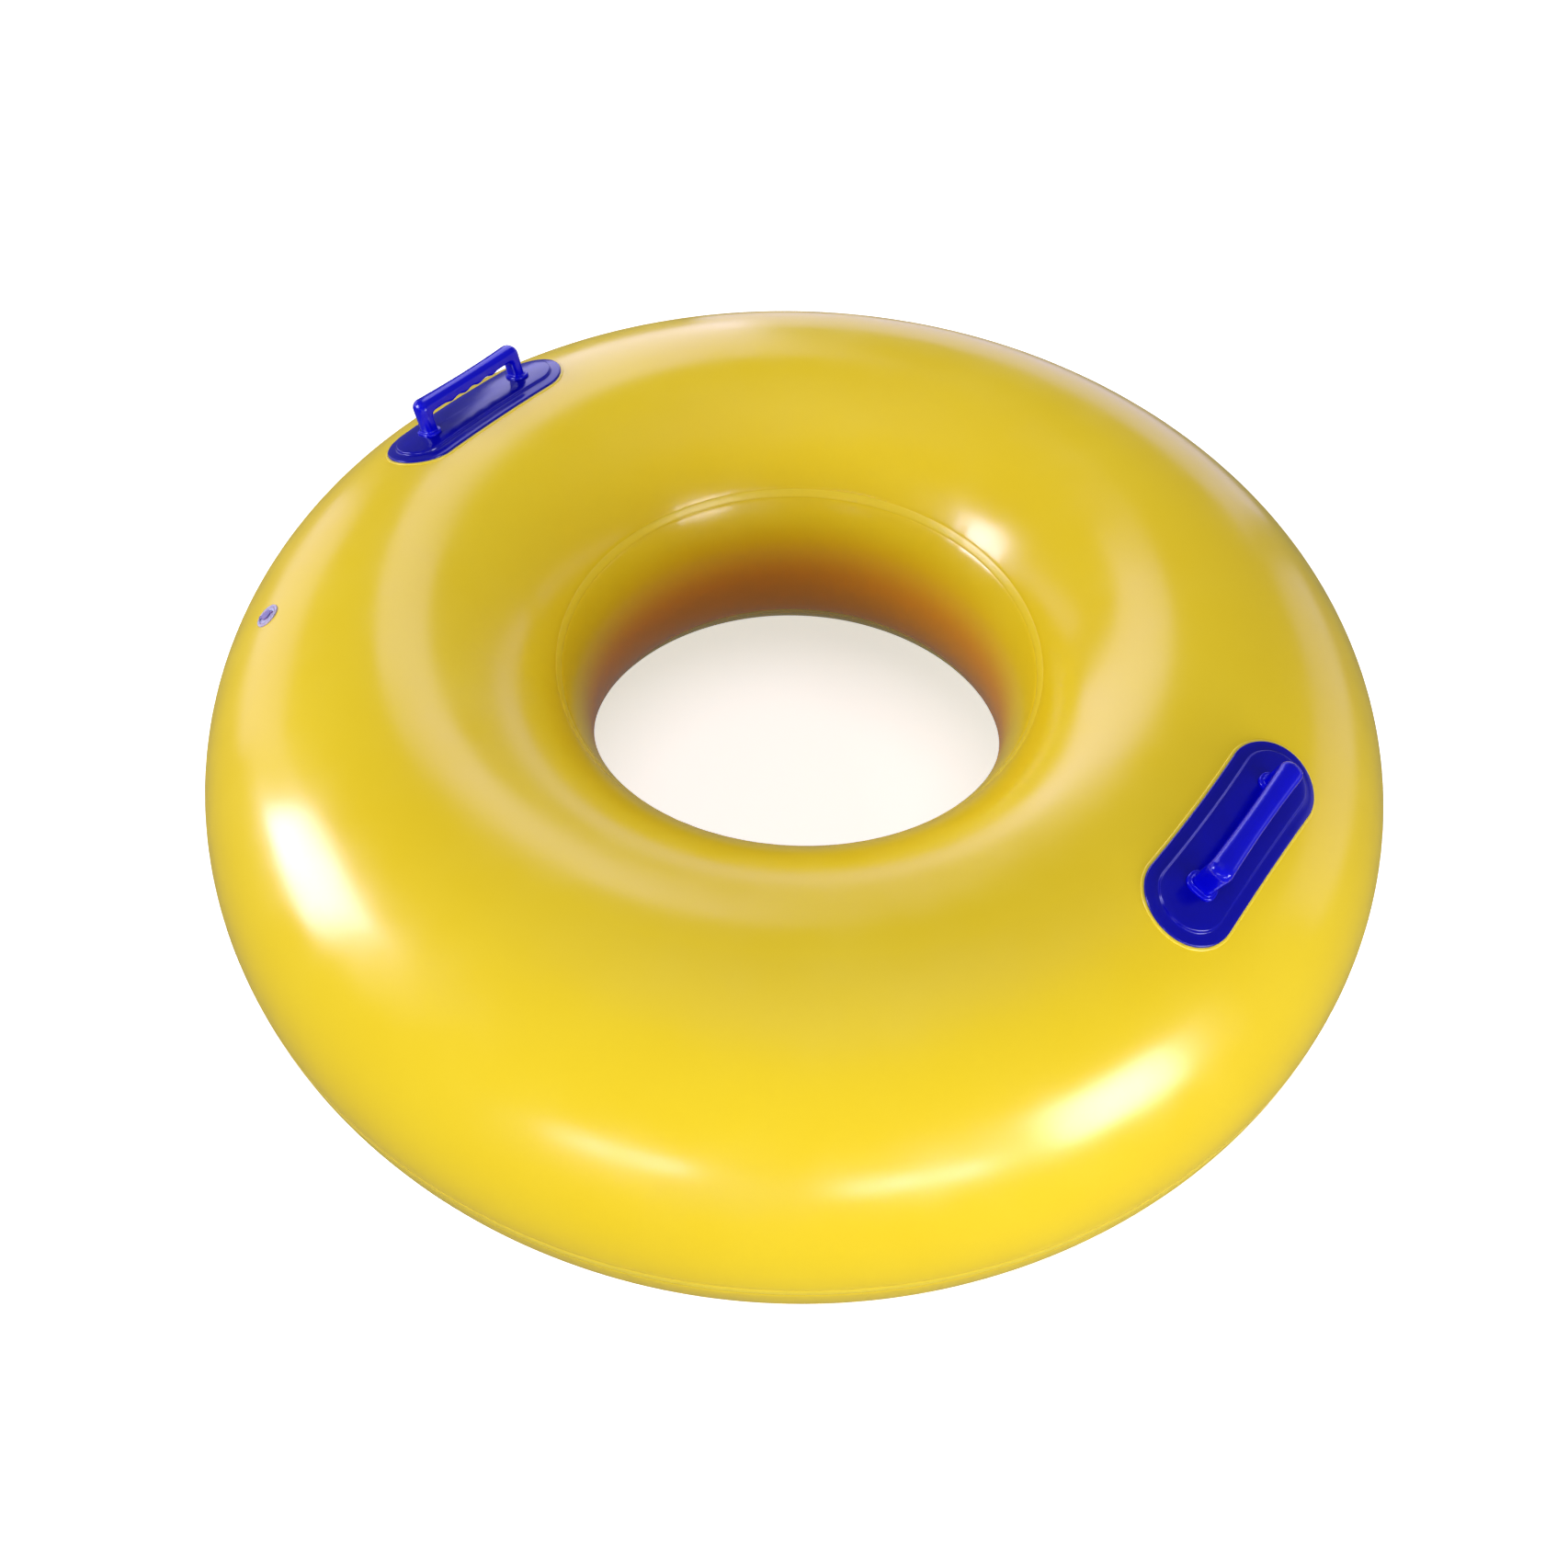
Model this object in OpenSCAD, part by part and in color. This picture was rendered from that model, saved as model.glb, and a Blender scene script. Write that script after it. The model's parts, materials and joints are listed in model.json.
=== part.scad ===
// Inflated river and water-park ring with two moulded grab handles and one
// push-in valve. Millimetres, +Z up, origin on the floor under the ring's centre.
// The handles lie on the X axis, with their grips along Y.

/* [Air cell] */
// Outside diameter of the inflated ring
ring_od = 1200; // [1100:10:1300]
// Radius of the round tube section
tube_r = 190.5; // [180:0.5:200]
// Thickness of the PVC film
film_t = 1; // [0.8:0.1:1.4]
// Depth to which the floor flattens the underside
floor_press = 6; // [4:0.5:10]
// Place of the two inner welds, round the section from the outer equator
inner_seam_deg = 150; // [145:1:158]
// Width of a weld strip
seam_w = 10; // [6:0.5:14]
// Height of a weld strip above the film
seam_h = 0.6; // [0.4:0.1:1]

/* [Handles] */
// Place of the right handle round the ring
right_turn_deg = -1; // [-10:0.1:10]
// Place of the right handle round the section, from the outer equator
right_tilt_deg = 74; // [70:0.5:90]
// Place of the left handle round the ring
left_turn_deg = 180.8; // [170:0.1:190]
// Place of the left handle round the section, from the outer equator
left_tilt_deg = 78; // [70:0.5:90]
// Length of the base plate
plate_l = 233; // [210:1:250]
// Width of the base plate at its ends
plate_w = 81; // [74:1:90]
// Depth by which each long side of the plate draws in
plate_waist = 1.5; // [1:0.1:3]
// Width of the thin rim round the raised pad
rim_w = 11; // [8:0.5:14]
// Thickness of the rim
rim_t = 2.5; // [2:0.1:3]
// Thickness of the raised pad
pad_t = 5.5; // [4.5:0.1:7]
// Height of the grip's top above the film
grip_h = 42; // [38:0.5:56]
// Length of the grip over its posts
grip_l = 144; // [130:1:150]
// Width of the grip at its ends
grip_w = 21; // [18:0.5:30]
// Depth by which each side of the grip draws in
grip_waist = 1.5; // [0.5:0.1:2.5]
// Thickness of the grip over a finger groove
grip_t = 15.5; // [12:0.5:18]
// Length of the hand opening between the posts
hand_l = 117; // [105:1:120]
// Distance from one finger groove to the next
finger_pitch = 20; // [18:0.5:22]
// Depth of a finger groove
finger_depth = 2.2; // [1:0.1:3]
// Height of the foot round each post
foot_h = 3; // [2:0.5:5]

/* [Valve] */
// Place of the valve round the ring
valve_turn_deg = 220.75; // [200:0.25:240]
// Place of the valve round the section, from the outer equator
valve_tilt_deg = 55.5; // [45:0.5:65]
// Radius of the collar that shows through the film
collar_r = 13; // [12:0.5:15]
// Radius of the stem
stem_r = 6.2; // [5.8:0.1:6.6]
// Radius of the air bore in the stem
air_r = 3.2; // [3:0.1:3.4]
// Travel of the stem from pushed in to pulled out
stem_travel = 11.5; // [8:0.5:12]

/* [Hidden] */
$fn = 96;
ring_r = ring_od / 2 - seam_h - tube_r;
centre_z = tube_r - floor_press;
far = 3 * tube_r;

// Handle
finger_count = 5;
last_finger_y = (finger_count - 1) / 2 * finger_pitch;
groove_z = tube_r + grip_h - grip_t;
groove_r = (pow(finger_pitch / 2, 2) + pow(finger_depth, 2)) / (2 * finger_depth);
post_l = (grip_l - hand_l) / 2;
post_y = (grip_l - post_l) / 2;
grip_corner = 6;
grip_edge = 6.5;
foot_l = post_l + 7;
foot_w = grip_w + 6;
foot_corner = 8;
plate_arc_r = 1600;
// Slack that keeps the three views of the grip from sharing a face
view_slack = 0.5;
bead_w = 2.5;
bead_t = 0.8;
doubler_grow = 12;
patch_t = 0.8;
handle_sweep = 50;
prism_low = tube_r - 25;
prism_h = 90;

// Valve
skin_in = tube_r - film_t;
hole_gap = 0.3;
patch_r = 38;
flange_r = 28;
flange_t = 1.2;
collar_top = tube_r + seam_h;
collar_low = tube_r - 6;
slide_gap = 0.3;
lip_r = 9.8;
lip_h = 1.3;
lip_seat = 0.1;
stem_low = collar_low - stem_travel - 2.5;
stop_r = 7.8;
stop_h = 2;
hinge_x = 9;
hinge_z = collar_top + 0.8;
knuckle_r = 0.7;
knuckle_half = 1.3;
knuckle_gap = 0.3;
lug_half = 3.3;
cap_gap = 0.15;
cap_r = 5.6;
cap_h = 1.3;
spigot_r = 3;
spigot_tip_r = 1.9;
spigot_h = 4.2;
pull_x = 8.2;
flap_r = 5.4;
flap_h = 0.8;
flap_gap = 0.25;
flap_hinge_x = 7;
flap_hinge_z = stem_low - flap_gap - flap_h / 2;

film_colour = "#e6c62c";
weld_colour = "#cfa82a";
handle_colour = "#0b0db8";
handle_rim_colour = "#12148a";
valve_colour = "#b3b0c9";

// A point on a circle about the section's centre
function on_circle(r, deg) = [r * cos(deg), r * sin(deg)];

// The slice of the section between two angles
module wedge(from, to) {
    steps = 6;
    polygon(concat(
        [[0, 0]],
        [for (i = [0:steps]) on_circle(far, from + (to - from) * i / steps)]
    ));
}

// The section's disc, cut off flat where the ring rests on the floor
module pressed_disc(r, floor_y) {
    intersection() {
        circle(r = r);
        translate([-far, floor_y]) square([2 * far, far]);
    }
}

// The film's section between two angles
module film_section(from, to) {
    intersection() {
        difference() {
            pressed_disc(tube_r, -centre_z);
            pressed_disc(tube_r - film_t, film_t - centre_z);
        }
        wedge(from, to);
    }
}

// A curved band of the section between two radii and two angles
module band_section(low_r, high_r, from, to) {
    intersection() {
        difference() {
            circle(r = high_r);
            circle(r = low_r);
        }
        wedge(from, to);
    }
}

// A section turned once round the ring
module ring_of_section() {
    translate([0, 0, centre_z])
        rotate_extrude()
            translate([ring_r, 0])
                children();
}

// The panel of film between two angles
module film_panel(from, to) {
    ring_of_section() film_section(from, to);
}

// A weld strip centred on one angle of the section
module weld_strip(deg) {
    half_deg = seam_w / tube_r * 90 / PI;
    color(weld_colour)
        ring_of_section()
            band_section(tube_r, tube_r + seam_h, deg - half_deg, deg + half_deg);
}

// Stands its children on the tube, with Z along the surface's normal, Y round
// the ring and X across the tube, and Z counted from the section's centre
module on_tube(turn_deg, tilt_deg) {
    rotate([0, 0, turn_deg])
        translate([ring_r, 0, centre_z])
            rotate([0, 90 - tilt_deg, 0])
                children();
}

// A stretch of curved sheet that follows the tube between two radii
module tube_sheet(turn_deg, low_r, high_r) {
    rotate([0, 0, turn_deg - handle_sweep / 2])
        translate([0, 0, centre_z])
            rotate_extrude(angle = handle_sweep)
                translate([ring_r, 0])
                    band_section(low_r, high_r, 20, 120);
}

// The part of a curved sheet inside an outline that stands on the tube
module sheet_piece(turn_deg, tilt_deg, low_r, high_r) {
    intersection() {
        tube_sheet(turn_deg, low_r, high_r);
        on_tube(turn_deg, tilt_deg)
            translate([0, 0, prism_low])
                linear_extrude(height = prism_h)
                    children();
    }
}

// The solid tube under a handle, up to a radius
module tube_core(turn_deg, r) {
    rotate([0, 0, turn_deg - handle_sweep / 2])
        translate([0, 0, centre_z])
            rotate_extrude(angle = handle_sweep)
                translate([ring_r, 0])
                    circle(r = r);
}

// A rectangle with round corners
module round_rect(size_x, size_y, r) {
    square([size_x, size_y - 2 * r], center = true);
    square([size_x - 2 * r, size_y], center = true);
    for (x = [-1, 1], y = [-1, 1])
        translate([x * (size_x / 2 - r), y * (size_y / 2 - r)])
            circle(r = r);
}

// Outline of the base plate, grown or drawn in all round
module plate_outline(grow) {
    end_y = (plate_l - plate_w) / 2;
    difference() {
        union() {
            square([plate_w + 2 * grow, 2 * end_y], center = true);
            for (side = [-1, 1])
                translate([0, side * end_y])
                    circle(r = plate_w / 2 + grow);
        }
        for (side = [-1, 1])
            translate([side * (plate_w / 2 - plate_waist + plate_arc_r), 0])
                circle(r = plate_arc_r - grow, $fn = 720);
    }
}

// Moulded base plate: a thin rim that is welded down and a raised pad
module handle_base(turn_deg, tilt_deg) {
    color(handle_rim_colour) {
        sheet_piece(turn_deg, tilt_deg, tube_r, tube_r + rim_t) plate_outline(0);
        sheet_piece(turn_deg, tilt_deg, tube_r + rim_t / 2, tube_r + pad_t) plate_outline(-rim_w);
    }
}

// Bead of PVC squeezed out round the base plate by the weld
module handle_weld(turn_deg, tilt_deg) {
    color(weld_colour)
        sheet_piece(turn_deg, tilt_deg, tube_r, tube_r + bead_t)
            difference() {
                plate_outline(bead_w);
                plate_outline(0);
            }
}

// Film patch welded to the inside of the skin under the handle
module handle_doubler(turn_deg, tilt_deg) {
    color(film_colour)
        sheet_piece(turn_deg, tilt_deg, skin_in - patch_t, skin_in)
            plate_outline(doubler_grow);
}

// Side view of the grip and posts, over the hand opening's finger grooves
module grip_side() {
    ridge_z = groove_z - finger_depth;
    difference() {
        translate([0, tube_r + grip_h - prism_h / 2])
            round_rect(grip_l + 2 * view_slack, prism_h, grip_corner + view_slack);
        translate([-hand_l / 2, ridge_z - prism_h])
            square([hand_l, prism_h]);
        for (i = [0:finger_count - 1])
            translate([(i - (finger_count - 1) / 2) * finger_pitch, groove_z - groove_r])
                intersection() {
                    circle(r = groove_r);
                    square([finger_pitch, 2 * groove_r], center = true);
                }
        for (side = [-1, 1])
            translate([side * (last_finger_y + hand_l / 2) / 2, ridge_z])
                square([hand_l / 2 - last_finger_y, 2 * finger_depth], center = true);
    }
}

// View of the grip from above, tapering from both ends to its narrow middle
module grip_plan() {
    mid_x = grip_w / 2 - grip_waist;
    end_x = grip_w / 2 + view_slack;
    intersection() {
        round_rect(grip_w, grip_l, grip_corner);
        polygon([
            [end_x, -grip_l / 2], [mid_x, -finger_pitch], [mid_x, finger_pitch], [end_x, grip_l / 2],
            [-end_x, grip_l / 2], [-mid_x, finger_pitch], [-mid_x, -finger_pitch], [-end_x, -grip_l / 2]
        ]);
    }
}

// View of the grip along its length, with round upper edges
module grip_end() {
    translate([0, tube_r + grip_h - prism_h / 2])
        round_rect(grip_w + 2 * view_slack, prism_h, grip_edge + view_slack);
}

// Grip bar with its two posts, down into the tube
module grip_bar() {
    intersection() {
        rotate([90, 0, 90])
            linear_extrude(height = 2 * grip_w, center = true)
                grip_side();
        translate([0, 0, prism_low])
            linear_extrude(height = prism_h)
                grip_plan();
        rotate([90, 0, 0])
            linear_extrude(height = 2 * grip_l, center = true)
                grip_end();
    }
}

// Grip bar and posts with their feet, cut to stand on the pad
module handle_grip(turn_deg, tilt_deg) {
    color(handle_colour)
        difference() {
            union() {
                on_tube(turn_deg, tilt_deg) grip_bar();
                sheet_piece(turn_deg, tilt_deg, tube_r + 1, tube_r + pad_t + foot_h)
                    for (side = [-1, 1])
                        translate([0, side * post_y])
                            round_rect(foot_w, foot_l, foot_corner);
            }
            tube_core(turn_deg, tube_r + pad_t);
        }
}

// Upper skin, from the outer weld over the crown to the upper inner weld
module top_panel() {
    color(film_colour)
        difference() {
            film_panel(0, inner_seam_deg);
            on_tube(valve_turn_deg, valve_tilt_deg)
                translate([0, 0, prism_low])
                    cylinder(r = collar_r + hole_gap, h = prism_h);
        }
}

// Lower skin, pressed flat where the ring rests
module bottom_panel() {
    color(film_colour) film_panel(-inner_seam_deg, 0);
}

// Band round the centre hole
module inner_wall_panel() {
    color(film_colour) film_panel(inner_seam_deg, 360 - inner_seam_deg);
}

module outer_seam() {
    weld_strip(0);
}

module upper_inner_seam() {
    weld_strip(inner_seam_deg);
}

module lower_inner_seam() {
    weld_strip(-inner_seam_deg);
}

module handle_base_right() {
    handle_base(right_turn_deg, right_tilt_deg);
}

module handle_grip_right() {
    handle_grip(right_turn_deg, right_tilt_deg);
}

module handle_weld_right() {
    handle_weld(right_turn_deg, right_tilt_deg);
}

module handle_doubler_right() {
    handle_doubler(right_turn_deg, right_tilt_deg);
}

module handle_base_left() {
    handle_base(left_turn_deg, left_tilt_deg);
}

module handle_grip_left() {
    handle_grip(left_turn_deg, left_tilt_deg);
}

module handle_weld_left() {
    handle_weld(left_turn_deg, left_tilt_deg);
}

module handle_doubler_left() {
    handle_doubler(left_turn_deg, left_tilt_deg);
}

// Film ring inside the skin that stiffens it round the valve
module valve_patch() {
    color(film_colour)
        sheet_piece(valve_turn_deg, valve_tilt_deg, skin_in - patch_t, skin_in)
            difference() {
                circle(r = patch_r);
                circle(r = collar_r);
            }
}

// Valve flange under the patch, with the collar that comes up through the film
module valve_flange() {
    bore_r = stem_r + slide_gap;
    flange_top = skin_in - patch_t;
    color(valve_colour)
        difference() {
            union() {
                sheet_piece(valve_turn_deg, valve_tilt_deg, flange_top - flange_t, flange_top)
                    circle(r = flange_r);
                on_tube(valve_turn_deg, valve_tilt_deg)
                    translate([0, 0, collar_low])
                        cylinder(r = collar_r, h = collar_top - collar_low);
            }
            on_tube(valve_turn_deg, valve_tilt_deg) {
                translate([0, 0, prism_low])
                    cylinder(r = bore_r, h = prism_h);
                translate([0, 0, collar_top - lip_h - lip_seat])
                    cylinder(r = lip_r + slide_gap, h = prism_h);
            }
        }
}

// Mouthpiece tube with its outer lip and the stop ring at its inner end
module valve_stem() {
    color(valve_colour)
        on_tube(valve_turn_deg, valve_tilt_deg)
            difference() {
                union() {
                    translate([0, 0, stem_low])
                        cylinder(r = stem_r, h = collar_top - stem_low);
                    translate([0, 0, collar_top - lip_h])
                        cylinder(r = lip_r, h = lip_h);
                    translate([0, 0, stem_low])
                        cylinder(r = stop_r, h = stop_h);
                }
                translate([0, 0, stem_low - 1])
                    cylinder(r = air_r, h = collar_top - stem_low + 2);
            }
}

// Tether pad on the lip, with two lugs of the plug's hinge
module valve_strap() {
    pad_h = hinge_z - collar_top;
    lug_l = lug_half - knuckle_half - knuckle_gap;
    color(valve_colour)
        on_tube(valve_turn_deg, valve_tilt_deg)
            for (side = [-1, 1])
                translate([hinge_x, side * (knuckle_half + knuckle_gap + lug_l / 2), 0]) {
                    translate([0, 0, hinge_z])
                        rotate([90, 0, 0])
                            cylinder(r = knuckle_r, h = lug_l, center = true);
                    translate([-knuckle_r, -lug_l / 2, collar_top])
                        cube([2 * knuckle_r, lug_l, pad_h]);
                }
}

// Tapered plug with its cap, pull tab and hinge tab
module valve_plug() {
    cap_low = collar_top + cap_gap;
    tab_h = cap_h - 0.3;
    color(valve_colour)
        on_tube(valve_turn_deg, valve_tilt_deg) {
            translate([0, 0, cap_low])
                cylinder(r = cap_r, h = cap_h);
            translate([0, 0, cap_low - spigot_h])
                cylinder(r1 = spigot_tip_r, r2 = spigot_r, h = spigot_h);
            translate([-pull_x, -knuckle_half, cap_low])
                cube([pull_x + hinge_x, 2 * knuckle_half, tab_h]);
            translate([hinge_x, 0, hinge_z])
                rotate([90, 0, 0])
                    cylinder(r = knuckle_r, h = 2 * knuckle_half, center = true);
        }
}

// One-way check flap at the stem's inner end
module valve_flap() {
    color(valve_colour)
        on_tube(valve_turn_deg, valve_tilt_deg) {
            translate([0, 0, flap_hinge_z])
                cylinder(r = flap_r, h = flap_h, center = true);
            translate([flap_hinge_x / 2, 0, flap_hinge_z])
                cube([flap_hinge_x, 2 * knuckle_half, flap_h], center = true);
            translate([flap_hinge_x, 0, flap_hinge_z])
                rotate([90, 0, 0])
                    cylinder(d = flap_h, h = 2 * knuckle_half, center = true);
        }
}

top_panel();
bottom_panel();
inner_wall_panel();
outer_seam();
upper_inner_seam();
lower_inner_seam();
handle_base_right();
handle_grip_right();
handle_weld_right();
handle_doubler_right();
handle_base_left();
handle_grip_left();
handle_weld_left();
handle_doubler_left();
valve_patch();
valve_flange();
valve_stem();
valve_strap();
valve_plug();
valve_flap();
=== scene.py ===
# %% [markdown]
# # A yellow river tube
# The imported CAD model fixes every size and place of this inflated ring. The lesson keeps that frame and
# makes what the eye judges: tight glossy PVC film, pressed welds, two moulded handles and a soft valve.
# Each step says what the piece is on the real tube, how it could be made, and why one way was chosen.

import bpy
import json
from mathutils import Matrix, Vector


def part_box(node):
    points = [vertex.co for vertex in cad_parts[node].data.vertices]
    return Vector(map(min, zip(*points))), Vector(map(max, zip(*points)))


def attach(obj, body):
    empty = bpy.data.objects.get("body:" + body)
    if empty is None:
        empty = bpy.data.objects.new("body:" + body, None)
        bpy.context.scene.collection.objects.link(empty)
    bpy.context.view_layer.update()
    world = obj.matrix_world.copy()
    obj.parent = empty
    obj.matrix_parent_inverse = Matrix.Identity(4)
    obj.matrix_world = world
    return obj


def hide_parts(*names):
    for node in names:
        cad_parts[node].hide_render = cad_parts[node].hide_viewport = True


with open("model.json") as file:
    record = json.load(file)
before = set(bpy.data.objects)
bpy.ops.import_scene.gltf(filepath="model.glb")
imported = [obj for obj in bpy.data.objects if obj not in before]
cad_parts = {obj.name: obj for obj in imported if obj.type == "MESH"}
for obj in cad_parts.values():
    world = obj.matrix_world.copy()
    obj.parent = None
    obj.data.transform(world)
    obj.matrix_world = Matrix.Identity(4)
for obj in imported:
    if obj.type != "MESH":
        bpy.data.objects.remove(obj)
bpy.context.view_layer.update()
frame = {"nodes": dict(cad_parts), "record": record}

# %% [markdown]
# ## Sizes
# The ring is a torus, so three numbers place everything on it: the radius of the round section, the radius
# of the circle that the section's centre runs on, and the height of that circle. Only the first is written
# here. The other two are read from the frame, so the lesson follows the CAD if the ring is made larger.

# %% Sizes that the whole lesson shares
import json
from math import asin, atan2, copysign, cos, exp, hypot, pi, radians, sin

import bmesh
import bpy
from mathutils import Matrix, Vector

MM = 0.001
TURN_STEPS = 320

tube_r = 190.5 * MM
film_t = 1.0 * MM
skin_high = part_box("top_panel")[1]
ring_r = skin_high.x - tube_r
centre_z = skin_high.z - tube_r
print(f"section centre runs at radius {ring_r:.4f} m, {centre_z:.4f} m above the floor")

# %% [markdown]
# ## From a bmesh to a finished piece
# A bmesh is a mesh that is still being worked on. When it is ready, points that meet are merged and the
# faces are turned outwards, because an extrusion or a spin can leave them facing in. Faces are shaded
# smooth, and only edges sharper than a set angle stay crisp. The piece then rides on a CAD body.

# %% Finish a piece
def finish_piece(name, bm, body="ring", sharp_deg=38):
    bmesh.ops.remove_doubles(bm, verts=bm.verts, dist=0.002 * MM)
    bmesh.ops.recalc_face_normals(bm, faces=bm.faces)
    mesh = bpy.data.meshes.new(name)
    bm.to_mesh(mesh)
    bm.free()
    mesh.shade_smooth()
    mesh.set_sharp_from_angle(angle=radians(sharp_deg))
    piece = bpy.data.objects.new(name, mesh)
    bpy.context.scene.collection.objects.link(piece)
    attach(piece, body)
    print(f"{name}: {len(mesh.polygons)} faces")
    return piece

# %% [markdown]
# ## How the film gives at its welds
# A blown-up ring is never a perfect torus. Air pushes the film out, but a weld holds it in, so a shallow
# valley runs along each weld, with a narrow crease at both edges of the pressed strip. Round the centre
# hole there is more film than the small circle needs, and the spare gathers in fine radial puckers.
# These could be sculpted by hand. A few waves of the ring's angle do the same and stay easy to change.

# %% The give of the film, as a distance along the section's radius
SEAM_DEG = (0, 150, -150)
seam_half = 5 * MM


def pucker_wave(turn):
    wave = 0.5 * sin(61 * turn + 1.3) + 0.3 * sin(97 * turn + 0.4) + 0.2 * sin(38 * turn + 2.2)
    return wave * (0.55 + 0.45 * sin(5 * turn + 0.9))


def film_give(turn, section):
    slack = 0.18 * sin(3 * turn + 0.6) + 0.12 * sin(7 * turn + 2 * section) - 0.3
    give = slack * MM * max(0.0, sin(section)) ** 2
    for seam in SEAM_DEG:
        away = abs((section - radians(seam) + pi) % (2 * pi) - pi) * tube_r
        give -= 0.4 * MM * exp(-((away / (9 * MM)) ** 2))
        give -= 0.14 * MM * exp(-(((away - seam_half) / (1.3 * MM)) ** 2))
        if seam:
            give += 0.25 * MM * pucker_wave(turn) * exp(-((away / (16 * MM)) ** 2))
    return give


print("deepest crease:", round(film_give(0, 0) / MM, 2), "mm at the outer weld")

# %% [markdown]
# ## The floor's press
# The ring rests on a flat band where its own weight presses the film. A plain cut would leave a ridge, so a
# soft maximum rounds the film into the flat, as air pressure does.

# %% A point of the film on the ring
def section_point(section, radius):
    depth = radius * sin(section) + centre_z - (tube_r - radius)
    soft = 0.5 * (depth + hypot(depth, 1.2 * MM))
    return Vector((ring_r + radius * cos(section), 0, soft + tube_r - radius))


def let_film_give(bm):
    for vert in bm.verts:
        turn = atan2(vert.co.y, vert.co.x)
        across = hypot(vert.co.x, vert.co.y) - ring_r
        up = vert.co.z - centre_z
        section = atan2(up, across)
        out = Vector((cos(section) * cos(turn), cos(section) * sin(turn), sin(section)))
        vert.co += out * film_give(turn, section)


flat_half = (2 * tube_r * (tube_r - centre_z)) ** 0.5
print(f"the film rests on a band about {2 * flat_half / MM:.0f} mm wide")

# %% [markdown]
# ## Three panels of film
# The real ring is cut from flat PVC sheet: an upper and a lower ring-shaped panel, and a band for the
# centre hole. They are laid together and welded, and only air makes them round. Here each panel is the
# closed outline of its 1 mm thick section, spun once round the Z axis. The rows stand close together near
# the welds, where the film bends sharply, and wide apart where it only curves.

# %% Rows across a panel
def panel_rows(start_deg, end_deg):
    fine_step, fine_count, coarse_step = 0.22, 14, 2.5
    fine = [i * fine_step for i in range(fine_count)]
    first, last = fine_count * fine_step, (end_deg - start_deg) - fine_count * fine_step
    count = round((last - first) / coarse_step)
    middle = [first + (last - first) * i / count for i in range(count + 1)]
    rows = fine + middle + [end_deg - start_deg - f for f in reversed(fine)]
    return [radians(start_deg + row) for row in rows]


print(f"rows across the top panel: {len(panel_rows(0, 150))}")


def film_panel(start_deg, end_deg):
    bm = bmesh.new()
    rows = panel_rows(start_deg, end_deg)
    points = [section_point(row, tube_r) for row in rows]
    points += [section_point(row, tube_r - film_t) for row in reversed(rows)]
    verts = [bm.verts.new(point) for point in points]
    edges = [bm.edges.new((vert, verts[i - 1])) for i, vert in enumerate(verts)]
    bmesh.ops.spin(bm, geom=verts + edges, cent=(0, 0, 0), axis=(0, 0, 1), angle=2 * pi,
                   steps=TURN_STEPS, use_merge=True)
    let_film_give(bm)
    return bm


# %% Spin the three panels
film_top = finish_piece("film_top", film_panel(0, 150))
film_bottom = finish_piece("film_bottom", film_panel(-150, 0))
film_inner_wall = finish_piece("film_inner_wall", film_panel(150, 210))
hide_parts("top_panel")
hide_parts("bottom_panel")
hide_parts("inner_wall_panel")

# %% [markdown]
# ## The hole for the valve
# The valve comes up through a punched hole in the upper panel. The record names a mount on the valve, and
# its axis is the film's normal there, so the turn round the ring and the tilt round the section follow from
# it. A Boolean with a plain cylinder does what the punch does, and leaves the rest of the panel untouched.

# %% Find a mount's place, and punch the panel
mounts = {mount["name"]: mount for mount in frame["record"]["mounts"]}


def place_of(mount_name):
    axis = Vector(mounts[mount_name]["axis"]).normalized()
    lean = Matrix.Rotation(pi / 2 - asin(axis.z), 4, "Y")
    turn = Matrix.Rotation(atan2(axis.y, axis.x), 4, "Z")
    return turn @ Matrix.Translation((ring_r, 0, centre_z)) @ lean


def punch_hole(piece, place, radius):
    bm = bmesh.new()
    bmesh.ops.create_cone(bm, cap_ends=True, segments=64, radius1=radius, radius2=radius, depth=20 * MM)
    bmesh.ops.transform(bm, matrix=place @ Matrix.Translation((0, 0, tube_r)), verts=bm.verts)
    punch = bpy.data.objects.new("punch", bpy.data.meshes.new("punch"))
    bm.to_mesh(punch.data)
    bm.free()
    bpy.context.scene.collection.objects.link(punch)
    cut = piece.modifiers.new("hole", "BOOLEAN")
    cut.operation, cut.solver, cut.object = "DIFFERENCE", "EXACT", punch
    evaluated = piece.evaluated_get(bpy.context.evaluated_depsgraph_get())
    piece.data = bpy.data.meshes.new_from_object(evaluated)
    piece.modifiers.clear()
    bpy.data.objects.remove(punch)
    print(f"{piece.name} after the punch: {len(piece.data.polygons)} faces")


valve_place = place_of("inflation_valve")
punch_hole(film_top, valve_place, 13.2 * MM)

# %% [markdown]
# ## Weld strips
# A radio-frequency press melts the two films together under a brass tool about 10 mm wide. It leaves a
# slightly raised strip with soft edges and the fine ribs of the tool. The strip is spun from its own small
# section and follows the same give as the film. A UV map laid along the strip carries the ribs, so they
# stay square to the weld all the way round.

# %% Spin the weld strips
WELD_RISE = [(-1.0, -0.3), (-0.97, 0.04), (-0.9, 0.12), (-0.75, 0.2), (-0.4, 0.24),
             (0.4, 0.24), (0.75, 0.2), (0.9, 0.12), (0.97, 0.04), (1.0, -0.3)]


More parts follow.
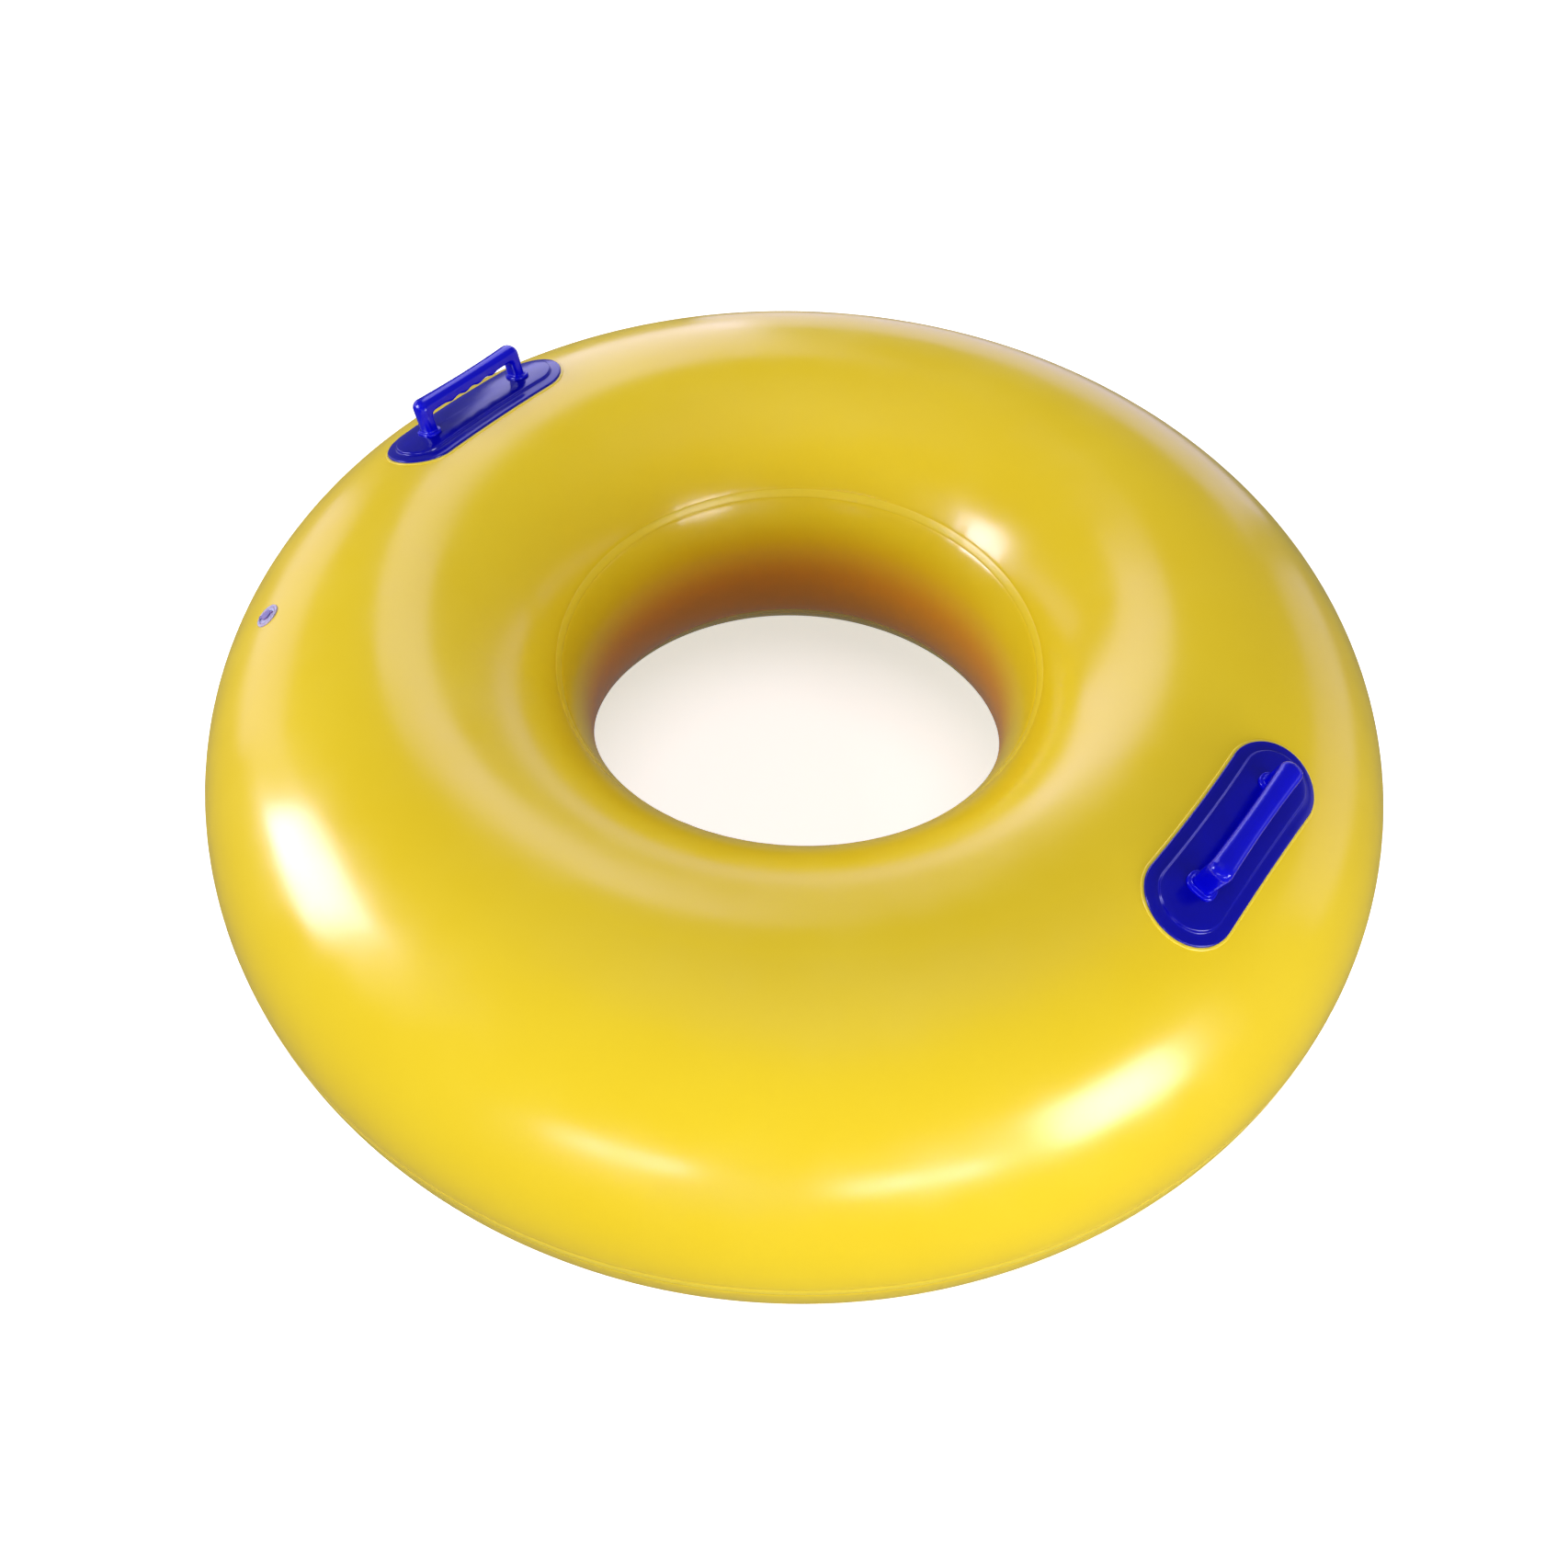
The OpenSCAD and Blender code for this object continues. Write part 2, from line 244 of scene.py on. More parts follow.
def weld_strip(name, seam_deg, node):
    bm = bmesh.new()
    verts = []
    for share, rise in WELD_RISE:
        section = radians(seam_deg) + share * seam_half / tube_r
        verts.append(bm.verts.new(section_point(section, tube_r + rise * MM)))
    edges = [bm.edges.new((vert, verts[i - 1])) for i, vert in enumerate(verts)]
    bmesh.ops.spin(bm, geom=verts + edges, cent=(0, 0, 0), axis=(0, 0, 1), angle=2 * pi,
                   steps=TURN_STEPS, use_merge=True)
    let_film_give(bm)
    uv = bm.loops.layers.uv.new("along_weld")
    for face in bm.faces:
        middle = face.calc_center_median()
        face_turn = atan2(middle.y, middle.x)
        for loop in face.loops:
            co = loop.vert.co
            turn = face_turn + (atan2(co.y, co.x) - face_turn + pi) % (2 * pi) - pi
            section = atan2(co.z - centre_z, hypot(co.x, co.y) - ring_r)
            away = (section - radians(seam_deg) + pi) % (2 * pi) - pi
            reach = ring_r + tube_r * cos(radians(seam_deg))
            loop[uv].uv = (turn * reach, away * tube_r)
    piece = finish_piece(name, bm)
    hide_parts(node)
    return piece


weld_outer = weld_strip("weld_outer", 0, "outer_seam")
weld_inner_upper = weld_strip("weld_inner_upper", 150, "upper_inner_seam")
weld_inner_lower = weld_strip("weld_inner_lower", -150, "lower_inner_seam")

# %% [markdown]
# ## Standing things on the tube
# The record has a mount on each grip as well, so the same function places the handles. Their plans are
# drawn flat, with X across the tube and Y round the ring, and then laid on the film: each point is let down
# along the local Z until it stands its own height off the skin.

# %% Lay a plan on the film
def lay_on_film(bm, place, verts=None):
    for vert in verts or bm.verts:
        x, y, height = vert.co
        z = tube_r + height
        for _ in range(8):
            point = place @ Vector((x, y, z))
            z += tube_r + height - hypot(hypot(point.x, point.y) - ring_r, point.z - centre_z)
        vert.co = place @ Vector((x, y, z))


PLACES = {"right": place_of("right_grip"), "left": place_of("left_grip")}
print("right handle stands at", [round(v, 4) for v in PLACES["right"] @ Vector((0, 0, tube_r))])

# %% [markdown]
# ## Rounded steps
# Injection-moulded PVC has no sharp edges: each rise starts in a small hollow fillet and ends in a round
# one. Both are quarter circles, cut into a few insets of the top face with a rise after each.

# %% Fillets as insets
def round_over(radius, count=5):
    angles = [pi / 2 * i / count for i in range(count + 1)]
    return [(radius * (cos(a) - cos(b)), radius * (sin(b) - sin(a))) for a, b in zip(angles, angles[1:])]


def cove(radius, count=5):
    return [(rise, inset) for inset, rise in round_over(radius, count)]


def inset_steps(bm, face, steps):
    for inset, rise in steps:
        bmesh.ops.inset_region(bm, faces=[face], thickness=inset, use_boundary=True, use_even_offset=True)
        bmesh.ops.translate(bm, verts=face.verts, vec=(0, 0, rise))
    return face


def raise_wall(bm, face, low, high):
    bmesh.ops.translate(bm, verts=face.verts, vec=(0, 0, low))
    result = bmesh.ops.extrude_face_region(bm, geom=[face])
    top_verts = [g for g in result["geom"] if isinstance(g, bmesh.types.BMVert)]
    bmesh.ops.translate(bm, verts=top_verts, vec=(0, 0, high - low))
    return next(g for g in result["geom"] if isinstance(g, bmesh.types.BMFace))

# %% [markdown]
# ## Base plate
# Each handle starts as a moulded plate. A thin rim, 11 mm wide, gives the press something to weld, and a
# raised pad carries the grip. Seen from above it is a stadium whose long sides draw in a little. A circle
# gives the right number of points, they are moved onto that outline, and insets make the steps.

# %% Outline of the plate
plate_l, plate_w, plate_waist = 233 * MM, 81 * MM, 1.5 * MM
rim_w, rim_t, pad_t = 11 * MM, 2.5 * MM, 5.5 * MM
PLATE_POINTS = 208


def plate_point(share, grow):
    half_w, end_y = plate_w / 2 + grow, (plate_l - plate_w) / 2
    side, arc = 2 * end_y, pi * half_w
    walk = (share * 2 * (side + arc)) % (2 * (side + arc))
    turned = walk > side + arc
    walk -= (side + arc) if turned else 0
    if walk < side:
        y = walk - end_y
        x = half_w - plate_waist * (1 - (y / end_y) ** 2)
    else:
        angle = (walk - side) / half_w
        x, y = half_w * cos(angle), end_y + half_w * sin(angle)
    return Vector((-x, -y, 0) if turned else (x, y, 0))


def plate_face(bm, grow):
    circle = bmesh.ops.create_circle(bm, cap_ends=True, segments=PLATE_POINTS, radius=plate_w)
    for i, vert in enumerate(circle["verts"]):
        vert.co = plate_point(i / PLATE_POINTS, grow)
    return bm.faces[:][0]


print(f"base plate: {plate_l / MM:.0f} by {plate_w / MM:.0f} mm")

# %% Mould the base plates
sunk = 1.0 * MM
edge_r, step_r = 1.3 * MM, 1.5 * MM


def base_plate(side):
    bm = bmesh.new()
    underside = plate_face(bm, 0)
    top = raise_wall(bm, underside, -sunk, rim_t - edge_r)
    inset_steps(bm, top, round_over(edge_r) + [(4 * MM, 0)] + [(rim_w - step_r - edge_r - 4 * MM, 0)])
    inset_steps(bm, top, cove(step_r) + round_over(pad_t - rim_t - step_r))
    inset_steps(bm, top, [(5 * MM, 0)] * 5)
    inset_steps(bm, underside, [(9 * MM, 0)] * 4)
    lay_on_film(bm, PLACES[side])
    piece = finish_piece(f"handle_plate_{side}", bm)
    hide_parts(f"handle_base_{side}")
    return piece


plates = [base_plate(side) for side in PLACES]

# %% [markdown]
# ## Weld bead
# The press squeezes a little film out from under the rim, and it sets as a fine pale line round the plate.
# The same outline, grown by 2.5 mm, is inset past the rim and its inner face is taken away. That leaves a
# flat ring, which is extruded to a low bead and softened with a bevel.

# %% Squeeze out the beads
bead_w, bead_t = 2.5 * MM, 0.6 * MM


def weld_bead(side):
    bm = bmesh.new()
    inner = plate_face(bm, bead_w)
    bmesh.ops.inset_region(bm, faces=[inner], thickness=bead_w + 0.4 * MM, use_boundary=True,
                           use_even_offset=True)
    bmesh.ops.delete(bm, geom=[inner], context="FACES_ONLY")
    bmesh.ops.translate(bm, verts=bm.verts, vec=(0, 0, -sunk))
    result = bmesh.ops.extrude_face_region(bm, geom=bm.faces[:])
    top_verts = [g for g in result["geom"] if isinstance(g, bmesh.types.BMVert)]
    bmesh.ops.translate(bm, verts=top_verts, vec=(0, 0, sunk + bead_t))
    rim = [e for e in bm.edges if e.calc_face_angle(0) > 1 and min(v.co.z for v in e.verts) > 0]
    bmesh.ops.bevel(bm, geom=rim, offset=0.7 * MM, segments=3, profile=0.5, affect="EDGES", material=-1)
    lay_on_film(bm, PLACES[side])
    piece = finish_piece(f"handle_bead_{side}", bm)
    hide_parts(f"handle_weld_{side}")
    return piece


beads = [weld_bead(side) for side in PLACES]

# %% [markdown]
# ## Grip bar
# The grip is a bar on two posts, with four ridges between the fingers on its underside and a round section
# that is comfortable in a wet hand. It could be a curve with a bevel, but a bar with flat sides and round
# edges is closer to a face drawn in side view, extruded to its width and bevelled all along its outline.
# The bar is then cut into stations, so that it can narrow and sag a little towards its middle, and into
# strips, so that its top and its two ends can be crowned as a hand would want them.

# %% Side view of the grip
grip_h, grip_l, grip_w, grip_waist = 42 * MM, 144 * MM, 21 * MM, 1.5 * MM
grip_t, finger_pitch, finger_depth, ridge_reach = 15.5 * MM, 20 * MM, 2.2 * MM, 40 * MM
hand_half, corner_r, armpit_r, grip_top = 58.5 * MM, 9.5 * MM, 5 * MM, tube_r + grip_h


def finger_groove(y):
    ridge = (1 - cos(2 * pi * y / finger_pitch)) / 2 if abs(y) < ridge_reach else 0
    return grip_top - grip_t - finger_depth * ridge


def quarter(centre_y, centre_z_, radius, start_deg, end_deg, count=7):
    angles = [radians(start_deg + (end_deg - start_deg) * i / count) for i in range(count + 1)]
    return [(centre_y + radius * cos(a), centre_z_ + radius * sin(a)) for a in angles]


def grip_outline():
    foot_z, half_l = tube_r + 1 * MM, grip_l / 2
    pit_y = hand_half - armpit_r
    pit_z = finger_groove(pit_y) - armpit_r
    scallop_steps = 46
    scallops = [-pit_y + 2 * pit_y * i / scallop_steps for i in range(1, scallop_steps)]
    points = [(half_l, foot_z)] + quarter(half_l - corner_r, grip_top - corner_r, corner_r, 0, 90)
    points += quarter(corner_r - half_l, grip_top - corner_r, corner_r, 90, 180)
    points += [(-half_l, foot_z), (-hand_half, foot_z)] + quarter(-pit_y, pit_z, armpit_r, 180, 90)
    points += [(y, finger_groove(y)) for y in scallops]
    return points + quarter(pit_y, pit_z, armpit_r, 90, 0) + [(hand_half, foot_z)]


print(f"side view of the grip: {len(grip_outline())} points, hand opening {2 * hand_half / MM:.0f} mm long")

# %% Mould the grips
grip_edge = 6.5 * MM
sag, crown = 1.5 * MM, 3 * MM
STATIONS = [7 * MM * i for i in range(-9, 10)]
STRIPS = [-3 * MM, -1 * MM, 1 * MM, 3 * MM]


def grip_bar(side):
    bm = bmesh.new()
    flank = bm.faces.new([bm.verts.new((-grip_w / 2, y, z)) for y, z in grip_outline()])
    result = bmesh.ops.extrude_face_region(bm, geom=[flank])
    far_verts = [g for g in result["geom"] if isinstance(g, bmesh.types.BMVert)]
    bmesh.ops.translate(bm, verts=far_verts, vec=(grip_w, 0, 0))
    rims = [e for e in bm.edges if abs(e.verts[0].co.x - e.verts[1].co.x) < 0.01 * MM]
    bmesh.ops.bevel(bm, geom=rims, offset=grip_edge, segments=8, profile=0.5, affect="EDGES",
                    clamp_overlap=True, material=-1)
    cuts = [((0, y, 0), (0, 1, 0)) for y in STATIONS] + [((x, 0, 0), (1, 0, 0)) for x in STRIPS]
    for point, normal in cuts:
        bmesh.ops.bisect_plane(bm, geom=bm.verts[:] + bm.edges[:] + bm.faces[:], dist=0.01 * MM,
                               plane_co=point, plane_no=normal)
    for vert in bm.verts:
        middle = 1 - min(1, abs(vert.co.y) / (grip_l / 2)) ** 2
        fall = crown * (vert.co.x / (grip_w / 2)) ** 2
        up = max(0, (vert.co.z - grip_top + grip_t) / grip_t)
        out = max(0, (abs(vert.co.y) - hand_half) / (grip_l / 2 - hand_half))
        vert.co.x *= 1 - middle * grip_waist / (grip_w / 2)
        vert.co.z -= (fall + sag * middle) * up
        vert.co.y -= copysign(fall * out, vert.co.y)
    bmesh.ops.transform(bm, matrix=PLACES[side], verts=bm.verts)
    piece = finish_piece(f"handle_bar_{side}", bm, sharp_deg=50)
    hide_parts(f"handle_grip_{side}")
    return piece


grips = [grip_bar(side) for side in PLACES]

# %% [markdown]
# ## Feet of the posts
# Where a post meets the pad the mould has a low collar, rounded on top, that spreads the pull of the hand.
# A single square face gets its four corners rounded with a vertex bevel, and the same wall and inset steps
# turn it into a collar. Its top ends inside the post, so no gap shows.

# %% Mould the feet
foot_l, foot_w, foot_corner, foot_h = 20.5 * MM, 27 * MM, 9 * MM, 3 * MM
post_y = (grip_l / 2 + hand_half) / 2


def post_foot(side, end):
    bm = bmesh.new()
    bmesh.ops.create_grid(bm, x_segments=1, y_segments=1, size=0.5)
    bmesh.ops.scale(bm, vec=(foot_w, foot_l, 1), verts=bm.verts)
    bmesh.ops.bevel(bm, geom=bm.verts[:], offset=foot_corner, segments=8, profile=0.5, affect="VERTICES",
                    material=-1)
    flat = bm.faces[:][0]
    top = raise_wall(bm, flat, pad_t - 2 * MM, pad_t + foot_h - 1.4 * MM)
    inset_steps(bm, top, round_over(1.4 * MM) + [(0.5 * MM, 0)] + cove(1.3 * MM) + [(2 * MM, 0)])
    bmesh.ops.translate(bm, verts=bm.verts, vec=(0, end * post_y, 0))
    lay_on_film(bm, PLACES[side])
    return finish_piece(f"handle_foot_{side}_{'back' if end > 0 else 'front'}", bm)


feet = [post_foot(side, end) for side in PLACES for end in (-1, 1)]

# %% [markdown]
# ## Valve
# The valve is soft clear PVC: a collar that comes up through the film from a flange inside it, a mouthpiece
# pushed in flush, and a plug on a short tether. Turned parts like these are half outlines spun round their
# axis. The outline's corners are then bevelled by a few tenths of a millimetre, because soft PVC never
# leaves the mould sharp.

# %% Turned parts
def turned(bm, outline, base=tube_r):
    before = set(bm.verts)
    verts = [bm.verts.new((radius * MM, 0, base + height * MM)) for radius, height in outline]
    edges = [bm.edges.new((vert, verts[i - 1])) for i, vert in enumerate(verts)]
    if outline[0][0] == 0 and outline[-1][0] == 0:
        bm.edges.remove(edges.pop(0))
    bmesh.ops.spin(bm, geom=verts + edges, cent=(0, 0, 0), axis=(0, 0, 1), angle=2 * pi, steps=64,
                   use_merge=True)
    made = [v for v in bm.verts if v not in before]
    bmesh.ops.remove_doubles(bm, verts=made, dist=0.005 * MM)


def soften(bm, radius):
    corners = [e for e in bm.edges if e.calc_face_angle(0) > radians(50)]
    bmesh.ops.bevel(bm, geom=corners, offset=radius, segments=2, profile=0.5, affect="EDGES",
                    clamp_overlap=True, material=-1)


# %% Collar, mouthpiece and plug
def valve_collar():
    bm = bmesh.new()
    turned(bm, [(12.5, -3), (28, -3), (28, -1.8), (12.5, -1.8)], base=0)
    lay_on_film(bm, valve_place)
    flange_verts = set(bm.verts)
    turned(bm, [(6.5, -6), (13, -6), (13, 0.6), (10.1, 0.6), (10.1, -0.8), (6.5, -0.8)])
    collar_verts = [v for v in bm.verts if v not in flange_verts]
    bmesh.ops.transform(bm, matrix=valve_place, verts=collar_verts)
    soften(bm, 0.35 * MM)
    piece = finish_piece("valve_collar", bm)
    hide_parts("valve_flange")
    return piece


def valve_mouthpiece():
    bm = bmesh.new()
    turned(bm, [(3.2, -20), (7.8, -20), (7.8, -18), (6.2, -18),
                (6.2, -0.7), (9.8, -0.7), (9.8, 0.6), (3.2, 0.6)])
    soften(bm, 0.3 * MM)
    bmesh.ops.transform(bm, matrix=valve_place, verts=bm.verts)
    piece = finish_piece("valve_mouthpiece", bm, body="valve_stem")
    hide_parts("valve_stem")
    return piece


collar = valve_collar()
mouthpiece = valve_mouthpiece()

# %% [markdown]
# ## Finishes
# Colours are picked as hex values, as on a colour chart, but a shader wants linear light, so one function
# turns them. Another adds a node, sets its values and links its inputs. Every finish is then a short list
# of such calls that ends in one Principled shader.

# %% Colour and node helpers
def linear(hex_colour):
    channels = [int(hex_colour[i:i + 2], 16) / 255 for i in (1, 3, 5)]
    return [c / 12.92 if c <= 0.04045 else ((c + 0.055) / 1.055) ** 2.4 for c in channels] + [1]


def add_node(tree, kind, links=None, **settings):
    """Adds a node. settings are its properties, or its inputs by name with _ for a space."""
    node = tree.nodes.new(kind)
    for key, value in settings.items():
        if hasattr(node, key):
            setattr(node, key, value)
        else:
            node.inputs[key.replace("_", " ")].default_value = value
    for name, socket in (links or {}).items():
        tree.links.new(socket, node.inputs[name])
    return node


def new_material(name):
    material = bpy.data.materials.new(name)
    material.use_nodes = True
    tree = material.node_tree
    tree.nodes.clear()
    return material, tree


def close_material(tree, shader):
    add_node(tree, "ShaderNodeOutputMaterial", {"Surface": shader.outputs["BSDF"]})


def mixed(tree, factor, deep_hex, light_hex):
    """Mixes two colours by a factor and returns the node. Its sockets 6 and 7 are the colours."""
    mix = add_node(tree, "ShaderNodeMix", {"Factor": factor}, data_type="RGBA")
    mix.inputs[6].default_value = linear(deep_hex)
    mix.inputs[7].default_value = linear(light_hex)
    return mix


print("linear light of a mid grey:", [round(c, 3) for c in linear("#808080")])

# %% [markdown]
# ### Calendered PVC film
# The film is rolled between polished steel rolls, so it is smooth and glossy but not a mirror: its
# highlights have soft edges. The band round the centre hole turns a deeper orange from 260 mm above the
# floor down to 170 mm. This is painted shade, standing in for the orange shadow that falls inside the hole.
# Plasticiser and pigment are never quite even, which shows as a slow drift between lemon and amber over a
# hand's width. Handling leaves the gloss a little uneven. The rolls leave an orange peel of 3 to 4 mm, so
# shallow that only the edge of a highlight shows it.

# %% Film finish
def pvc_film(name, light_hex, deep_hex, roughness, painted_shade_hex=None):
    material, tree = new_material(name)
    where = add_node(tree, "ShaderNodeTexCoord").outputs["Object"]
    drift = add_node(tree, "ShaderNodeTexNoise", {"Vector": where}, Scale=1 / (180 * MM), Detail=3.0)
    tint = mixed(tree, drift.outputs["Fac"], deep_hex, light_hex)
    # Painted shade: from 260 mm above the floor down to 170 mm the colour turns to a deep orange.
    if painted_shade_hex:
        height = add_node(tree, "ShaderNodeSeparateXYZ", {"Vector": where}).outputs["Z"]
        low = add_node(tree, "ShaderNodeMapRange", {"Value": height}, interpolation_type="SMOOTHSTEP",
                       From_Min=260 * MM, From_Max=170 * MM)
        painted_shade_tint = mixed(tree, low.outputs["Result"], deep_hex, painted_shade_hex)
        tree.links.new(tint.outputs[2], painted_shade_tint.inputs[6])
        tint = painted_shade_tint
    scuff = add_node(tree, "ShaderNodeTexNoise", {"Vector": where}, Scale=1 / (45 * MM), Detail=5.0)
    gloss = add_node(tree, "ShaderNodeMapRange", {"Value": scuff.outputs["Fac"]}, From_Min=0.3, From_Max=0.7,
                     To_Min=roughness - 0.03, To_Max=roughness + 0.04)
    peel = add_node(tree, "ShaderNodeTexNoise", {"Vector": where}, Scale=1 / (7 * MM), Detail=2.0)
    bump = add_node(tree, "ShaderNodeBump", {"Height": peel.outputs["Fac"]}, Strength=0.25,
                    Distance=0.05 * MM)
    shader = add_node(tree, "ShaderNodeBsdfPrincipled", {
        "Base Color": tint.outputs[2], "Roughness": gloss.outputs["Result"], "Normal": bump.outputs["Normal"],
    }, IOR=1.53)
    close_material(tree, shader)
    return material


film_finish = pvc_film("calendered_pvc_film", "#ECCF28", "#E6C51E", 0.22)
# The inner wall's finish adds painted shade, a deep orange low down in the hole.
wall_finish = pvc_film("calendered_pvc_film_painted_shade", "#ECCF28", "#E6C51E", 0.22, "#EE9C0A")
inner_film_finish = pvc_film("uncoated_pvc_film_back", "#E6C22E", "#DCB224", 0.42)

# %% [markdown]
# ### Pressed weld
# Under the brass tool the film goes a little clearer and paler, with ribs 1.6 mm apart. The crease at both
# edges of the strip is painted darker, as painted shade. The UV map runs in metres, so the ribs are a wave
# along U and the painted crease shade is a threshold on V.

# %% Weld finish
def pressed_weld():
    material, tree = new_material("pressed_pvc_weld")
    where = add_node(tree, "ShaderNodeUVMap", uv_map="along_weld").outputs["UV"]
    parts = add_node(tree, "ShaderNodeSeparateXYZ", {"Vector": where})
    distance = add_node(tree, "ShaderNodeMath", {0: parts.outputs["Y"]}, operation="ABSOLUTE")
    edge = add_node(tree, "ShaderNodeMapRange", {"Value": distance.outputs["Value"]},
                    From_Min=4.5 * MM, From_Max=4.95 * MM)
    # Painted shade: the strip's colour goes darker in the crease at both its edges.
    tint = mixed(tree, edge.outputs["Result"], "#EED232", "#DCB422")
    rib = add_node(tree, "ShaderNodeMath", {0: parts.outputs["X"]}, operation="MULTIPLY")
    rib.inputs[1].default_value = 2 * pi / (1.6 * MM)
    wave = add_node(tree, "ShaderNodeMath", {0: rib.outputs["Value"]}, operation="SINE")
    bump = add_node(tree, "ShaderNodeBump", {"Height": wave.outputs["Value"]}, Strength=0.3,
                    Distance=0.06 * MM)
    shader = add_node(tree, "ShaderNodeBsdfPrincipled", {
        "Base Color": tint.outputs[2], "Normal": bump.outputs["Normal"],
    }, IOR=1.53, Roughness=0.28)
    close_material(tree, shader)
    return material


weld_finish = pressed_weld()

# %% [markdown]
# ### Moulded handle PVC
# The handles are a harder blue PVC, injection moulded in a polished steel mould. The colour goes all the
# way through and the skin is very glossy, with a faint flow mottle and hairline scratches from hands and
# sand along the grip.

# %% Handle finishes
def moulded_pvc(name, light_hex, deep_hex, roughness):
    material, tree = new_material(name)
    where = add_node(tree, "ShaderNodeTexCoord").outputs["Object"]
    flow = add_node(tree, "ShaderNodeTexNoise", {"Vector": where}, Scale=1 / (25 * MM), Detail=3.0)
    tint = mixed(tree, flow.outputs["Fac"], deep_hex, light_hex)
    scratch_map = add_node(tree, "ShaderNodeMapping", {"Vector": where})
    scratch_map.inputs["Scale"].default_value = (1 / (1.2 * MM), 1 / (22 * MM), 1 / (1.2 * MM))
    scratch = add_node(tree, "ShaderNodeTexNoise", {"Vector": scratch_map.outputs["Vector"]}, Scale=1.0)
    gloss = add_node(tree, "ShaderNodeMapRange", {"Value": scratch.outputs["Fac"]}, From_Min=0.35,
                     From_Max=0.75, To_Min=roughness, To_Max=roughness + 0.1)
    bump = add_node(tree, "ShaderNodeBump", {"Height": flow.outputs["Fac"]}, Strength=0.2, Distance=0.1 * MM)
    shader = add_node(tree, "ShaderNodeBsdfPrincipled", {
        "Base Color": tint.outputs[2], "Roughness": gloss.outputs["Result"], "Normal": bump.outputs["Normal"],
    }, IOR=1.53, Specular_IOR_Level=0.4)
    close_material(tree, shader)
    return material


# Two pours of one blue: the plate a little darker than the grip.
plate_finish = moulded_pvc("moulded_blue_pvc_plate", "#0101A4", "#01018E", 0.14)
grip_finish = moulded_pvc("moulded_blue_pvc_grip", "#0202D0", "#0101BC", 0.13)
bead_finish = pvc_film("squeezed_pvc_bead", "#EED63E", "#E4C82E", 0.3)

# %% [markdown]
# ### Soft clear PVC
# The valve is unpigmented PVC with a bluish plasticiser haze. Light goes a few millimetres into it and
# comes out again, which is what subsurface scattering is for. The plug is the same material, thicker and
# darker.

# %% Valve finishes
def clear_soft_pvc(name, light_hex, deep_hex):
    material, tree = new_material(name)
    where = add_node(tree, "ShaderNodeTexCoord").outputs["Object"]
    haze = add_node(tree, "ShaderNodeTexNoise", {"Vector": where}, Scale=1 / (4 * MM), Detail=2.0)
    tint = mixed(tree, haze.outputs["Fac"], deep_hex, light_hex)
    bump = add_node(tree, "ShaderNodeBump", {"Height": haze.outputs["Fac"]}, Strength=0.2, Distance=0.1 * MM)
    shader = add_node(tree, "ShaderNodeBsdfPrincipled", {
        "Base Color": tint.outputs[2], "Normal": bump.outputs["Normal"],
    }, IOR=1.53, Roughness=0.3, Subsurface_Weight=0.3, Subsurface_Scale=2 * MM)
    close_material(tree, shader)
    return material


valve_finish = clear_soft_pvc("soft_clear_pvc", "#C3BBDD", "#A79DCB")
plug_finish = clear_soft_pvc("soft_clear_pvc_plug", "#8C80C0", "#6A5CA6")

# %% [markdown]
# ## Dress the pieces
# Each piece takes one finish. The CAD nodes that stay, such as the patches inside the ring and the small
# parts of the valve, are dressed the same way.

# %% Give every piece its finish
def dress(piece, material):
    piece.data.materials.clear()
    piece.data.materials.append(material)


for piece in (film_top, film_bottom):
    dress(piece, film_finish)
dress(film_inner_wall, wall_finish)
for piece in (weld_outer, weld_inner_upper, weld_inner_lower):
    dress(piece, weld_finish)
for piece in plates:
    dress(piece, plate_finish)
for piece in grips + feet:
    dress(piece, grip_finish)
for piece in beads:
    dress(piece, bead_finish)
for piece in (collar, mouthpiece):
    dress(piece, valve_finish)
for node in ("handle_doubler_right", "handle_doubler_left", "valve_patch"):
    dress(frame["nodes"][node], inner_film_finish)
for node in ("valve_strap", "valve_flap"):
    dress(frame["nodes"][node], valve_finish)
dress(frame["nodes"]["valve_plug"], plug_finish)

# %% [markdown]
# ## Floor, light and camera
# A glossy ring shows its room, so light is placed in two kinds. Soft boxes that the film mirrors stand
# where the real highlights come from: a tall one at the left, a low one on the right, two small ones in
# front, and pale strips along the back that draw the grey band round the inside of the crown. Large fills
# that are not mirrored only model the round form. The floor is an opal acrylic table, as used in product
# studios, which glows a little and so stays pale inside the hole. It neither lights the ring nor shows
# in it.

# %% Floor
floor_bm = bmesh.new()
bmesh.ops.create_circle(floor_bm, cap_ends=True, segments=96, radius=14)
floor_mesh = bpy.data.meshes.new("floor")
floor_bm.to_mesh(floor_mesh)
floor_bm.free()
floor = bpy.data.objects.new("floor", floor_mesh)
bpy.context.scene.collection.objects.link(floor)
floor.visible_diffuse = floor.visible_glossy = False

floor_material, floor_tree = new_material("opal_acrylic_table")
close_material(floor_tree, add_node(floor_tree, "ShaderNodeBsdfPrincipled", Base_Color=linear("#FAFAFA"),
                                    Roughness=0.9, Specular_IOR_Level=0.1, Emission_Color=linear("#FFFFFF"),
                                    Emission_Strength=0.6))
floor_mesh.materials.append(floor_material)

# %% Light
target = Vector((0, 0, centre_z))


def towards(azimuth_deg, elevation_deg):
    azimuth, elevation = radians(azimuth_deg), radians(elevation_deg)
    return Vector((cos(azimuth) * cos(elevation), sin(azimuth) * cos(elevation), sin(elevation)))


